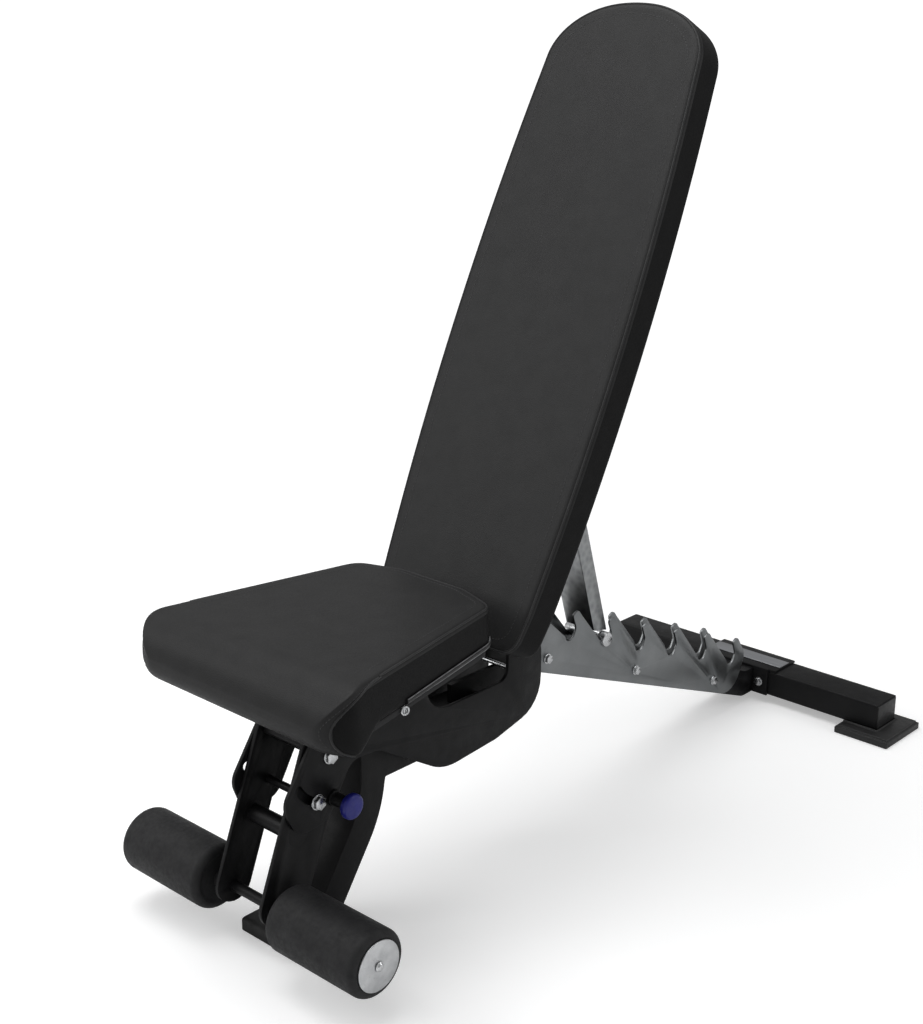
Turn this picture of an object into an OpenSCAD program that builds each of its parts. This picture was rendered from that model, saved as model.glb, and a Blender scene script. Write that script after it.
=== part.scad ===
// Adjustable weight bench: a sloping spine with a six-notch ladder, a hinged
// back held by a strut, a tilting seat and a swinging leg roller holder.
// Axes: +X to the sitter's left, -Y towards the rollers, +Z up. The origin is
// on the floor, in the middle of the bench's length and width.

/* [Rear foot] */
// Length of the rear cross tube
rear_len = 600; // [520:5:700]
// Depth (front to back) of the rear cross tube and width of the spine tube
tube_w = 70; // [60:1:84]
// Height of the rear cross tube and depth of the spine tube
tube_h = 50; // [45:1:60]
// Wall of the steel tubes
tube_wall = 3; // [2:0.5:4]
// Thickness of the tray feet
tray_h = 16; // [12:1:24]
// How far a tray stands out past the end of the tube
tray_out = 38; // [20:1:50]
// How far a tray reaches in along the tube
tray_in = 70; // [55:1:90]
// How far a tray stands out in front of and behind the tube
tray_side = 26; // [15:1:40]
// Thickness of the saddle bracket on the rear tube
saddle_t = 4; // [3:0.5:6]

/* [Spine and ladder] */
// Slope of the spine
spine_angle = 22; // [18:0.5:25]
// Level length of the spine in front of the saddle bracket
spine_stub = 34; // [25:1:60]
// Length of the sloping part of the spine
spine_len = 728; // [690:1:760]
// Thickness of the ladder plates
ladder_t = 4; // [3:0.5:6]
// Distance between two notches
notch_pitch = 104.3; // [88:0.1:112]
// Number of notches
notch_count = 6; // [5:1:6]
// Notch that holds the bar, counted from the rear
bar_notch = 5; // [5:1:5]
// Height of the notch bottoms above the underside of the spine
notch_z = 58; // [56:1:66]
// Height of the teeth above the notch bottoms
tooth_h = 51; // [44:1:56]
// Distance from the spine's rear bend to the first notch
first_notch = 88; // [78:1:96]
// Diameter of the ladder bar
bar_d = 25; // [20:1:27]

/* [Side plates] */
// Thickness of the side plates
side_t = 6; // [4:0.5:8]
// Gap between the inner faces of the side plates
side_gap = 104.6; // [102:0.2:112]

/* [Back] */
// Angle of the back above level
back_angle = 64; // [60:1:66]
// Height of the seat's and the level back's upper face
seat_top = 478; // [465:1:490]
// Height of the back's hinge bolt
hinge_z = 377.5; // [372:0.5:382]
// Distance of the back's hinge bolt in front of the rear tube
hinge_back = 775; // [765:1:785]
// Length of the back pad
back_len = 1020; // [850:5:1100]
// How far the back pad reaches below the hinge bolt
back_drop = 42; // [20:1:50]
// Greatest width of the back pad
back_w = 339; // [280:1:360]
// Width of the back pad at its ends
back_end_w = 298; // [250:1:330]
// Thickness of the back pad with its board
back_t = 65; // [55:1:75]
// Thickness of the pad boards
board_t = 12; // [9:1:15]
// Width and depth of the back frame tube
frame_tube = 50; // [40:1:52]
// Length of the back frame tube above the hinge
frame_len = 760; // [600:5:840]
// Diameter of the back's hinge bolt
hinge_d = 16; // [12:1:18]
// Distance from the hinge bolt to the strut's pin
strut_at = 320; // [300:1:330]
// Diameter of the strut's pin
strut_pin_d = 12; // [10:1:14]
// Depth of the strut channel
strut_depth = 30; // [26:1:32]
// Thickness of the strut's sheet
strut_t = 3; // [2:0.5:4]

/* [Seat] */
// Length of the seat
seat_len = 405; // [385:1:418]
// Width of the seat at the back
seat_back_w = 270; // [230:1:300]
// Width of the seat at the front
seat_front_w = 440; // [380:1:480]
// Distance from the rear tube to the seat's rear edge
seat_start = 893; // [891:1:900]
// Thickness of the seat pad without its board
seat_t = 71; // [60:1:74]
// Thickness of the seat's board
seat_board_t = 9; // [8:1:10]

/* [Front leg and foot] */
// Distance from the rear tube to the middle of the upright part of the leg
leg_at = 1059; // [1045:1:1065]
// Bend radius of the leg's middle line
leg_bend = 175; // [150:1:200]
// Angle of the leg's lower part from upright
leg_angle = 34; // [28:0.5:38]
// Height at which the bend starts
leg_bend_z = 228; // [215:1:240]
// Width of the front foot
foot_w = 128; // [110:1:170]
// Length of the front foot
foot_len = 120; // [100:1:140]
// Height of the front foot
foot_h = 24; // [18:1:30]

/* [Leg roller holder] */
// Distance from the rear tube to the holder's pivot bolt
holder_at = 1165; // [1155:1:1175]
// Height of the holder's pivot bolt
holder_z = 298; // [290:1:306]
// Distance from the pivot bolt to the roller axle
holder_len = 226.5; // [200:0.5:240]
// Angle of the holder from upright
holder_angle = 25.6; // [20:0.2:30]
// Thickness of the holder plates
holder_t = 6; // [4:0.5:8]
// Outer width over the holder plates
holder_w = 100.6; // [96:0.2:101]
// Width of a holder plate
holder_plate_w = 86; // [70:1:92]
// Width of the holder plate that has no locking hole
holder_narrow_w = 62; // [58:1:68]
// Travel of the holder in degrees
holder_travel = 39; // [20:1:42]
// Distance from the pivot bolt to the guide bolt and the pull pin
guide_r = 67; // [60:1:72]
// Diameter of the pivot and guide bolts
bolt_d = 12; // [10:1:14]
// Diameter of the foam rollers
roller_d = 100; // [85:1:110]
// Length of one foam roller
roller_len = 175; // [140:1:200]
// Distance between the two rollers
roller_gap = 150; // [130:1:160]
// Diameter of the roller axle
axle_d = 16; // [12:1:20]
// Diameter of the pull pin's knob
knob_d = 38; // [28:1:42]

/* [Clearances] */
// Radial clearance of a running fit
run_gap = 0.05; // [0.02:0.01:0.1]
// Gap between parts that move past each other
move_gap = 0.4; // [0.3:0.1:1]

/* [Hidden] */
$fn = 64;

// Pivot and axle of the roller holder
pivot = [-holder_at, holder_z];
axle_at = pivot + holder_len * [-sin(holder_angle), -cos(holder_angle)];

// Overall reach in front of and behind the rear tube's middle line
rear_reach = tube_w / 2 + tray_side;
front_reach = max(seat_start + seat_len, roller_d / 2 - axle_at[0]);
mid_y = (front_reach - rear_reach) / 2;

// Rear foot
tube_top = tray_h + tube_h;
saddle_half = 67;
badge_size = [160, 33, 1.5];

// Spine: a bend on the underside joins the level stub to the slope
bend_y = -(tube_w / 2 + saddle_t + spine_stub);
function on_spine(along, up) =
    [bend_y - along * cos(spine_angle) + up * sin(spine_angle),
     tray_h + along * sin(spine_angle) + up * cos(spine_angle)];
plate_gap = tube_w;
bar_seat = bar_d / 2 + move_gap / 2;
function notch_centre(k) = on_spine(first_notch + (k - 1) * notch_pitch, notch_z + bar_seat);
bar_at = notch_centre(bar_notch);
bar_len = plate_gap + 2 * ladder_t + 8;

// Back: local +Y runs up the back, local +Z points out of the sitter's face
hinge_at = [-hinge_back, hinge_z];
pad_face = seat_top - hinge_z;
board_back = pad_face - back_t;
strap_t = 5;
frame_front = board_back - strap_t;
frame_rear = frame_front - frame_tube;
strut_top = hinge_at + strut_at * [cos(back_angle), sin(back_angle)];
strut_vec = bar_at - strut_top;
strut_len = norm(strut_vec);
strut_angle = atan2(strut_vec[1], strut_vec[0]);
strut_half = frame_tube / 2 + 2 + strut_t;
strut_web_start = 54;
strut_bevel = 30;
strut_stop = bar_d / 2 / cos(strut_bevel) + 1.5;
side_in = side_gap / 2;
side_out = side_in + side_t;

// Seat
board_top = seat_top - seat_t;
board_bottom = board_top - seat_board_t;
board_inset = 4;
bracket_t = 5;
bracket_half = side_in - 4;
seat_hinge = [-1020, 352];
seat_hinge_d = 12;
seat_roll = 46;
seat_lip_r = 48;
seat_lip_drop = 14;
seat_front_inset = 54;
seat_corner_r = 60;

// Front leg, as angles and points on its bend
bend_centre = [-leg_at - leg_bend, leg_bend_z];
leg_top = 368;
beam_z = 208;
beam_end = -800;
function leg_point(r) = bend_centre + r * [cos(leg_angle), -sin(leg_angle)];
function leg_floor(r, z) =
    leg_point(r) + (leg_point(r)[1] - z) / cos(leg_angle) * [-sin(leg_angle), -cos(leg_angle)];
foot_front = leg_floor(leg_bend, foot_h)[0] - foot_len / 2 - 18;

// Leg roller holder
function around_pivot(angle, r) = pivot + r * [-sin(angle), -cos(angle)];
guide_angle = 22.8;
guide_at = around_pivot(guide_angle, guide_r);
pin_angle = -4;
pin_at = around_pivot(pin_angle, guide_r);
pin_d = 8;
holder_in = holder_w / 2 - holder_t;
holder_out = holder_w / 2;
cross_tube_d = 27;
cross_plug_d = 36;
cross_tube_at = pivot + [-56, -104];
top_rod_d = 14;
top_rod_at = pivot + [-26, 18];
roller_in = roller_gap / 2;
roller_out = roller_in + roller_len;
core_d = 24;
cap_d = 74;
cap_t = 2.5;
head_h = 7;
housing_len = 26;
housing_d = 20;

// ---- helpers ----

// Points of an arc about c, from angle a to angle b
function arc(c, r, a, b, n = 10) = [for (i = [0:n]) let(t = a + (b - a) * i / n) c + r * [cos(t), sin(t)]];

// Arc that rounds corner q between p and s with radius r
function corner(p, q, s, r, n = 6) =
    r == 0 ? [q] :
    let(u = (p - q) / norm(p - q), v = (s - q) / norm(s - q),
        half = acos(max(-1, min(1, u * v))) / 2,
        c = q + (u + v) / norm(u + v) * r / sin(half),
        start = q + u * r / tan(half) - c, stop = q + v * r / tan(half) - c,
        a = atan2(start[1], start[0]), raw = atan2(stop[1], stop[0]) - a,
        turn = raw > 180 ? raw - 360 : raw < -180 ? raw + 360 : raw)
    [for (i = [0:n]) c + r * [cos(a + turn * i / n), sin(a + turn * i / n)]];

// Outline with rounded corners, from entries [y, z, radius]
function rounded(p) = let(n = len(p)) [for (i = [0:n - 1])
    for (q = corner([p[(i + n - 1) % n][0], p[(i + n - 1) % n][1]], [p[i][0], p[i][1]],
        [p[(i + 1) % n][0], p[(i + 1) % n][1]], p[i][2])) q];

// Moves the rear tube's frame of reference to the bench's own origin
module placed() {
    translate([0, mid_y, 0]) children();
}

// Extrudes an outline in y and z along +X from x0
module slab(x0, thick) {
    translate([x0, 0, 0]) rotate([90, 0, 90]) linear_extrude(thick) children();
}

// Round bar along X between x0 and x1 at [y, z]
module rod(at, d, x0, x1) {
    translate([x0, at[0], at[1]]) rotate([0, 90, 0]) cylinder(h = x1 - x0, d = d);
}

// Hex head with a washer face, standing out from x in direction dir
module hex_head(at, x, dir, across, h) {
    translate([x, at[0], at[1]]) rotate([0, dir * 90, 0]) {
        cylinder(h = 1.5, d = across * 1.3);
        translate([0, 0, 1.5]) cylinder(h = h - 1.5, d = across * 1.1547, $fn = 6);
    }
}

// Bolt through along X with a head at each end
module through_bolt(at, d, half, across, h) {
    rod(at, d, -half, half);
    hex_head(at, half, 1, across, h);
    hex_head(at, -half, -1, across, h);
}

// Left and right copies
module both_sides() {
    children();
    mirror([1, 0, 0]) children();
}

// ---- rear foot ----

module rear_tube() {
    color("#1c1c1e") placed() difference() {
        translate([-rear_len / 2, -tube_w / 2, tray_h]) cube([rear_len, tube_w, tube_h]);
        translate([-rear_len / 2 - 1, -tube_w / 2 + tube_wall, tray_h + tube_wall])
            cube([rear_len + 2, tube_w - 2 * tube_wall, tube_h - 2 * tube_wall]);
    }
}

module rear_tube_plugs() {
    color("#151515") placed() both_sides()
        translate([rear_len / 2 - 12, -tube_w / 2 + tube_wall, tray_h + tube_wall])
            cube([14, tube_w - 2 * tube_wall, tube_h - 2 * tube_wall]);
}

module tray() {
    x0 = rear_len / 2 - tray_in;
    x1 = rear_len / 2 + tray_out;
    y1 = tube_w / 2 + tray_side;
    rim = 4;
    bead = 2.5;
    translate([x0, -y1, 0]) cube([x1 - x0, 2 * y1, tray_h - rim]);
    translate([x0 + rim, -y1 + rim, tray_h - rim]) cube([x1 - x0 - 2 * rim, 2 * y1 - 2 * rim, rim]);
    difference() {
        translate([x0 + rim, -tube_w / 2 - bead, tray_h])
            cube([rear_len / 2 + 2 + bead - x0 - rim, tube_w + 2 * bead, bead]);
        translate([x0, -tube_w / 2, tray_h - 1]) cube([rear_len / 2 + 2 - x0, tube_w, bead + 2]);
    }
}

module rear_tray_left() {
    color("#2a2b2e") placed() tray();
}

module rear_tray_right() {
    color("#2a2b2e") placed() mirror([1, 0, 0]) tray();
}

module saddle_bracket() {
    color("#1c1c1e") placed() {
        translate([-badge_size[0] / 2 - 2, -tube_w / 2, tube_top])
            cube([badge_size[0] + 4, tube_w, saddle_t]);
        difference() {
            translate([-saddle_half, -tube_w / 2 - saddle_t, tray_h])
                cube([2 * saddle_half, saddle_t, tube_h + saddle_t]);
            both_sides() translate([48, -tube_w / 2 - saddle_t - 1, tray_h + tube_h / 2])
                rotate([-90, 0, 0]) cylinder(h = saddle_t + 2, d = 8 + 2 * run_gap);
        }
    }
}

module saddle_bolts() {
    color("#b8babd") placed() both_sides()
        translate([48, -tube_w / 2 - saddle_t, tray_h + tube_h / 2]) rotate([90, 0, 0]) {
            translate([0, 0, -saddle_t]) cylinder(h = saddle_t, d = 8);
            cylinder(h = 1.5, d = 18);
            translate([0, 0, 1.5]) cylinder(h = 5, d = 13 * 1.1547, $fn = 6);
        }
}

module badge_plate() {
    color("#a9abb0") placed()
        translate([-badge_size[0] / 2, -badge_size[1] / 2, tube_top + saddle_t]) cube(badge_size);
}

// ---- spine and ladder ----

// Side outline of the spine, inset from its faces and longer by over at both ends
module spine_outline(inset, over = 0) {
    end_low = on_spine(spine_len + over, inset);
    end_high = on_spine(spine_len + over, tube_h - inset);
    rear = over - tube_w / 2 - saddle_t;
    // the level stub's upper edge meets the slope's upper edge here
    top_bend = [bend_y + (tube_h - inset) * tan(spine_angle / 2), tube_top - inset];
    low_bend = [bend_y + inset * tan(spine_angle / 2), tray_h + inset];
    polygon(rounded([[rear, tray_h + inset, 0], [low_bend[0], low_bend[1], 40],
        [end_low[0], end_low[1], 0], [end_high[0], end_high[1], 0],
        [top_bend[0], top_bend[1], 30], [rear, tube_top - inset, 0]]));
}

module spine_cap_outline(inset, depth) {
    a = on_spine(spine_len, inset);
    b = on_spine(spine_len, tube_h - inset);
    c = on_spine(spine_len - depth, tube_h - inset);
    d = on_spine(spine_len - depth, inset);
    polygon([a, b, c, d]);
}

module spine_tube() {
    color("#1c1c1e") placed() difference() {
        slab(-tube_w / 2, tube_w) spine_outline(0);
        slab(-tube_w / 2 + tube_wall, tube_w - 2 * tube_wall) spine_outline(tube_wall, 2);
    }
}

module spine_plug() {
    color("#151515") placed()
        slab(-tube_w / 2 + tube_wall, tube_w - 2 * tube_wall) spine_cap_outline(tube_wall, 12);
}

// Upper edge of one notch and its tooth, from front to rear, around the notch's bottom
// at [along, notch_z]: a straight slope down, a round seat and a hook leaning forward
function notch_edge(along) = let(r = bar_seat, top = notch_z + tooth_h)
    concat(
        [for (p = arc([0, r], r, 208, 365, 9)) [along - p[0], notch_z + p[1], 0]],
        [[along - r - 1, notch_z + 24, 9], [along + 4, top - 8, 4.5], [along - 6, top + 3, 7],
         [along - 19, top - 5, 6]]);

module ladder_outline() {
    front = first_notch + (notch_count - 1) * notch_pitch + 74;
    rear = first_notch - 49;
    edge = concat(
        [[front, 1, 6], [front, notch_z + 30, 10]],
        [for (k = [notch_count:-1:1]) for (q = notch_edge(first_notch + (k - 1) * notch_pitch)) q],
        [[rear + 1, notch_z + 26, 24], [rear + 4, 1, 46]]);
    polygon(rounded([for (q = edge) let(p = on_spine(q[0], q[1])) [p[0], p[1], q[2]]]));
}

ladder_bolt_along = [first_notch + 42, first_notch + 305, first_notch + 566];
function ladder_bolt_at(i) = on_spine(ladder_bolt_along[i], tube_h / 2);
ladder_bolt_d = 8;

module ladder_plate() {
    difference() {
        slab(plate_gap / 2, ladder_t) ladder_outline();
        for (i = [0:2]) rod(ladder_bolt_at(i), ladder_bolt_d + 2 * run_gap, 0, plate_gap);
    }
}

module ladder_plate_left() {
    color("#9a9ca0") placed() ladder_plate();
}

module ladder_plate_right() {
    color("#9a9ca0") placed() mirror([1, 0, 0]) ladder_plate();
}

module ladder_bolts() {
    color("#b8babd") placed() both_sides() for (i = [0:2]) {
        rod(ladder_bolt_at(i), ladder_bolt_d, plate_gap / 2, plate_gap / 2 + ladder_t);
        hex_head(ladder_bolt_at(i), plate_gap / 2 + ladder_t, 1, 13, 6.5);
    }
}

module ladder_bar() {
    color("#c4c6ca") placed() rod(bar_at, bar_d, -bar_len / 2, bar_len / 2);
}

// ---- side plates ----

module side_outline() {
    hinge_r = 27;
    polygon(rounded([
        [-hinge_back + 32, hinge_z + hinge_r, hinge_r], [-708, 325, 60], [-708, 224, 60],
        [-815, 199, 60], [-935, 190, 95], [-1070, 273, 40], [-1125, 276, 30], [-1170, 200, 30],
        [-holder_at - 66, 194, 36], [-holder_at - 87, 250, 30], [-holder_at - 28, 336, 30],
        [-holder_at + 2, 378, 16],
        [-975, 378, 15], [-966, 291, 48], [-787, 291, 20], [-hinge_back - 12, 340, 20],
        [-hinge_back - 34, hinge_z + hinge_r, hinge_r]]));
}

module arc_slot(r, d, a0, a1) {
    translate([0, pivot[0], pivot[1]]) rotate([0, 90, 0])
        rotate([0, 0, a0]) rotate_extrude(angle = a1 - a0)
            translate([r - d / 2, -side_gap]) square([d, 2 * side_gap]);
}

module side_plate() {
    slot_d = bolt_d + 2 * move_gap;
    difference() {
        slab(side_in, side_t) side_outline();
        rod(hinge_at, hinge_d + 2 * run_gap, 0, side_gap);
        rod(seat_hinge, seat_hinge_d + 2 * run_gap, 0, side_gap);
        rod(pivot, bolt_d + 2 * run_gap, 0, side_gap);
        // guide slot, from the guide bolt's rest place forward
        rod(guide_at, slot_d, 0, side_gap);
        rod(around_pivot(guide_angle + holder_travel, guide_r), slot_d, 0, side_gap);
        arc_slot(guide_r, slot_d, -guide_angle - holder_travel, -guide_angle);
    }
}

module side_plate_left() {
    color("#202022") placed() difference() {
        side_plate();
        rod(pin_at, pin_d + 2 * run_gap, 0, side_gap);
    }
}

module side_plate_right() {
    color("#202022") placed() mirror([1, 0, 0]) side_plate();
}

spacer_d = 28;
spacer_at = [on_spine(spine_len - 26, tube_h / 2), [-882, beam_z + tube_h / 2],
    [-992, beam_z + tube_h / 2 + 6], [-leg_at, 312]];

module weld_spacers() {
    color("#1c1c1e") placed() both_sides()
        for (p = spacer_at) rod(p, spacer_d, tube_w / 2, side_in);
}

gusset_t = 8;

// Upright web that fills the corner between the spine's end and the leg's beam
module spine_gusset() {
    tip = on_spine(spine_len, 0);
    beam_top = beam_z + tube_h;
    color("#1c1c1e") placed() slab(-gusset_t / 2, gusset_t) polygon([
        [beam_end - 60, beam_top], [beam_end, beam_top], [beam_end, beam_top - 26], [beam_end + 65, beam_top - 13],
        on_spine(spine_len - 28, 0), tip, [beam_end - 60, tip[1]]]);
}

tie_rod_at = [-762, 297];

module tie_rod() {
    color("#b8babd") placed() rod(tie_rod_at, 8, -side_in, side_in);
}

// ---- front leg and foot ----

module leg_outline(inset) {
    outer = leg_bend + tube_h / 2 - inset;
    inner = leg_bend - tube_h / 2 + inset;
    rear = bend_centre[0] + outer;
    polygon(concat(
        [leg_floor(inner, foot_h)], arc(bend_centre, inner, -leg_angle, 0, 12),
        [[bend_centre[0] + inner, leg_top], [rear, leg_top]],
        [[rear, beam_z + tube_h - inset], [beam_end, beam_z + tube_h - inset],
         [beam_end, beam_z + inset], [rear, beam_z + inset]],
        [for (p = arc(bend_centre, outer, 0, -leg_angle, 12)) if (p[1] < beam_z) p],
        [leg_floor(outer, foot_h)]));
}

module front_leg() {
    color("#1c1c1e") placed() difference() {
        slab(-tube_w / 2, tube_w) leg_outline(0);
        slab(-tube_w / 2 + tube_wall, tube_w - 2 * tube_wall) {
            leg_outline(tube_wall);
            // open ends
            translate([bend_centre[0] + leg_bend - tube_h / 2 + tube_wall, leg_top - 1])
                square([tube_h - 2 * tube_wall, 2]);
            translate([beam_end - 1, beam_z + tube_wall]) square([2, tube_h - 2 * tube_wall]);
        }
    }
}

module front_foot() {
    color("#18181a") placed() difference() {
        translate([-foot_w / 2, foot_front, 0]) cube([foot_w, foot_len, foot_h]);
        // chamfered upper edges
        for (side = [-1, 1]) translate([side * foot_w / 2, foot_front - 1, foot_h]) rotate([0, 45, 0])
            translate([-3, 0, -3]) cube([6, foot_len + 2, 6]);
        translate([-foot_w / 2 - 1, foot_front, foot_h]) rotate([45, 0, 0])
            translate([0, -3, -3]) cube([foot_w + 2, 6, 6]);
    }
}

module foot_screws() {
    color("#b8babd") placed() both_sides() translate([tube_w / 2 + 14, foot_front + foot_len / 2, foot_h]) {
        cylinder(h = 4, d = 12);
        translate([0, 0, 4]) cylinder(h = 1.5, d1 = 12, d2 = 7);
    }
}

module seat_bumper() {
    color("#151515") placed() translate([0, -leg_at, leg_top])
        cylinder(h = board_bottom - bracket_t - leg_top - move_gap, d = 24);
}

// ---- bolts held by the frame ----

module seat_hinge_bolt() {
    color("#b8babd") placed() through_bolt(seat_hinge, seat_hinge_d, side_out, 18, head_h);
}

module back_hinge_bolt() {
    color("#b8babd") placed() through_bolt(hinge_at, hinge_d, side_out, 22, head_h);
}

module holder_pivot_bolt() {
    color("#b8babd") placed() through_bolt(pivot, bolt_d, side_out, 18, head_h);
}

module pin_housing() {
    color("#1a1a1c") placed() difference() {
        union() {
            rod(pin_at, housing_d + 4, side_out, side_out + 4);
            rod(pin_at, housing_d, side_out + 4, side_out + housing_len);
        }
        rod(pin_at, pin_d + 2 * run_gap, side_out - 1, side_out + housing_len + 1);
    }
}

// ---- back ----

module in_back() {
    placed() translate([0, hinge_at[0], hinge_at[1]]) rotate([back_angle, 0, 0]) children();
}

// Half width of the back pad at height s above the hinge
pad_end_s = back_len - back_drop;
crown_len = 98;
pad_mid_s = (pad_end_s - crown_len - back_drop) / 2;
function pad_half(s) =
    back_w / 2 - (back_w - back_end_w) / 2 * pow((s - pad_mid_s) / (pad_end_s - crown_len - pad_mid_s), 2);
function pad_side(n) = [for (i = [0:n])
    let(s = -back_drop + 30 + (pad_end_s - crown_len + back_drop - 30) * i / n) [pad_half(s), s]];
function pad_crown(n) = [for (i = [1:n])
    let(a = 90 * i / n) [back_end_w / 2 * pow(cos(a), 0.92), pad_end_s - crown_len + crown_len * sin(a)]];
function pad_foot(n) = arc([pad_half(-back_drop) - 30, -back_drop + 30], 30, -90, 0, n);
function pad_right() = concat(pad_foot(6), pad_side(12), pad_crown(10));
function mirrored(p) = [for (i = [len(p) - 1:-1:0]) [-p[i][0], p[i][1]]];

module pad_plan() {
    polygon(concat(pad_right(), mirrored(pad_right())));
}

module back_pad() {
    color("#242426") in_back() difference() {
        translate([0, 0, board_back]) linear_extrude(back_t) pad_plan();
        translate([0, 0, board_back - 1]) linear_extrude(board_t + 1)
            translate([0, pad_mid_s]) scale([(back_w - 24) / back_w, (back_len - 24) / back_len])
                translate([0, -pad_mid_s]) pad_plan();
    }
}

module back_board() {
    color("#2a2623") in_back() translate([0, 0, board_back]) linear_extrude(board_t - move_gap)
        translate([0, pad_mid_s]) scale([(back_w - 26) / back_w, (back_len - 26) / back_len])
            translate([0, -pad_mid_s]) pad_plan();
}

module back_frame() {
    low = -22;
    color("#1c1c1e") in_back() difference() {
        translate([-frame_tube / 2, low, frame_rear]) cube([frame_tube, frame_len - low, frame_tube]);
        translate([-frame_tube / 2 + tube_wall, low - 1, frame_rear + tube_wall])
            cube([frame_tube - 2 * tube_wall, frame_len - low + 2, frame_tube - 2 * tube_wall]);
        rod([0, 0], hinge_d + 8, -frame_tube, frame_tube);
        rod([strut_at, 0], strut_pin_d + 2 * run_gap, -frame_tube, frame_tube);
    }
}

module back_hinge_sleeve() {
    color("#2a2b2e") in_back() difference() {
        rod([0, 0], hinge_d + 8, -side_in + move_gap, side_in - move_gap);
        rod([0, 0], hinge_d + 2 * run_gap, -side_in, side_in);
    }
}

module back_frame_plug() {
    wall = tube_wall;
    color("#151515") in_back() {
        translate([-frame_tube / 2 + wall, frame_len - 12, frame_rear + wall])
            cube([frame_tube - 2 * wall, 12, frame_tube - 2 * wall]);
        translate([-frame_tube / 2, frame_len, frame_rear]) cube([frame_tube, 3, frame_tube]);
    }
}

strap_at = [130, 640];
strap_w = 45;
strap_len = 220;

module back_straps() {
    color("#1c1c1e") in_back() for (s = strap_at) difference() {
        translate([-strap_len / 2, s - strap_w / 2, frame_front]) cube([strap_len, strap_w, strap_t]);
        for (side = [-1, 1]) translate([side * (strap_len / 2 - 20), s, frame_front - 1])
            cylinder(h = strap_t + 2, d = 8 + 2 * run_gap);
    }
}

module back_screws() {
    color("#b8babd") in_back() for (s = strap_at) both_sides()
        translate([strap_len / 2 - 20, s, frame_front]) {
            cylinder(h = strap_t, d = 8);
            translate([0, 0, -5]) cylinder(h = 5, d = 13 * 1.1547, $fn = 6);
        }
}

module strut_pin() {
    half = strut_half + 1;
    color("#b8babd") in_back() {
        rod([strut_at, 0], strut_pin_d, -half, half);
        hex_head([strut_at, 0], half, 1, 18, head_h);
        hex_head([strut_at, 0], -half, -1, 18, head_h);
    }
}

// ---- strut ----

// Local +Y runs down the strut from its pin, local +Z towards the back frame
module strut_side() {
    d = strut_depth / 2;
    end = strut_len - strut_stop;
    difference() {
        union() {
            circle(d = strut_depth);
            polygon([[0, -d], [end + d * tan(strut_bevel), -d], [end - d * tan(strut_bevel), d], [0, d]]);
        }
        circle(d = strut_pin_d + 2 * run_gap);
    }
}

module strut() {
    d = strut_depth / 2;
    color("#a6a8ac") placed() translate([0, strut_top[0], strut_top[1]]) rotate([strut_angle, 0, 0])
        mirror([0, 0, 1]) {
            both_sides() slab(strut_half - strut_t, strut_t) strut_side();
            difference() {
                translate([-strut_half, strut_web_start, d - strut_t])
                    cube([2 * strut_half, strut_len, strut_t]);
                // bevelled lower end, clear of the ladder bar
                translate([-strut_half - 1, strut_len - strut_stop, 0]) rotate([90 + strut_bevel, 0, 0])
                    translate([0, -2 * d, -3 * strut_depth]) cube([2 * strut_half + 2, 5 * d, 3 * strut_depth]);
            }
        }
}

// ---- seat ----

seat_taper = atan((seat_front_w - seat_back_w) / 2 / seat_len);
seat_bow = 26;
function seat_half(y, inset = 0) =
    seat_back_w / 2 + tan(seat_taper) * (-seat_start - y) - inset / cos(seat_taper);

module seat_plan(inset) {
    back = -seat_start - inset;
    front = -seat_start - seat_len + inset;
    half_b = seat_half(back - seat_bow, inset);
    half_f = seat_half(front, inset);
    polygon(rounded([
        [half_f, front, seat_corner_r], [half_b, back - seat_bow, 26], [half_b * 0.45, back, 60],
        [-half_b * 0.45, back, 60], [-half_b, back - seat_bow, 26], [-half_f, front, seat_corner_r]]));
}

module seat_pad() {
    front = -seat_start - seat_len;
    low = board_bottom - seat_lip_drop;
    color("#262628") placed() intersection() {
        translate([0, 0, low]) linear_extrude(seat_top - low) seat_plan(0);
        slab(-seat_front_w, 2 * seat_front_w) polygon(concat(
            [[-seat_start + 1, board_top], [-seat_start + 1, seat_top]],
            arc([front + seat_roll, seat_top - seat_roll], seat_roll, 90, 180, 10),
            arc([front + seat_lip_r, low + seat_lip_r], seat_lip_r, 180, 270, 8),
            [[front + seat_front_inset, low], [front + seat_front_inset, board_top]]));
    }
}

module seat_board() {
    color("#2a2623") placed() translate([0, 0, board_bottom]) linear_extrude(seat_board_t)
        intersection() {
            seat_plan(board_inset);
            translate([-seat_front_w, -seat_start - seat_len + seat_front_inset + move_gap])
                square([2 * seat_front_w, seat_len]);
        }
}

bracket_front = -1215;
bracket_rear = -908;
seat_screw_at = [[0, bracket_front + 18], [24, bracket_rear - 20], [-24, bracket_rear - 20]];

module seat_bracket() {
    color("#1c1c1e") placed() difference() {
        union() {
            translate([-bracket_half, bracket_front, board_bottom - bracket_t])
                cube([2 * bracket_half, bracket_rear - bracket_front, bracket_t]);
            both_sides() slab(bracket_half - bracket_t, bracket_t) polygon(rounded([
                [seat_hinge[0] - 42, board_bottom - bracket_t / 2, 0], [seat_hinge[0] - 14, seat_hinge[1] - 16, 14],
                [seat_hinge[0] + 14, seat_hinge[1] - 16, 14], [bracket_rear, board_bottom - 24, 4],
                [bracket_rear, board_bottom - bracket_t / 2, 0]]));
        }
        rod(seat_hinge, seat_hinge_d + 2 * run_gap, -side_in, side_in);
        for (p = seat_screw_at) translate([p[0], p[1], board_bottom - bracket_t - 1])
            cylinder(h = bracket_t + 2, d = 8 + 2 * run_gap);
    }
}

module seat_screws() {
    color("#b8babd") placed() for (p = seat_screw_at)
        translate([p[0], p[1], board_bottom - bracket_t]) {
            cylinder(h = bracket_t, d = 8);
            translate([0, 0, -5]) cylinder(h = 5, d = 13 * 1.1547, $fn = 6);
        }
}

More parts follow.
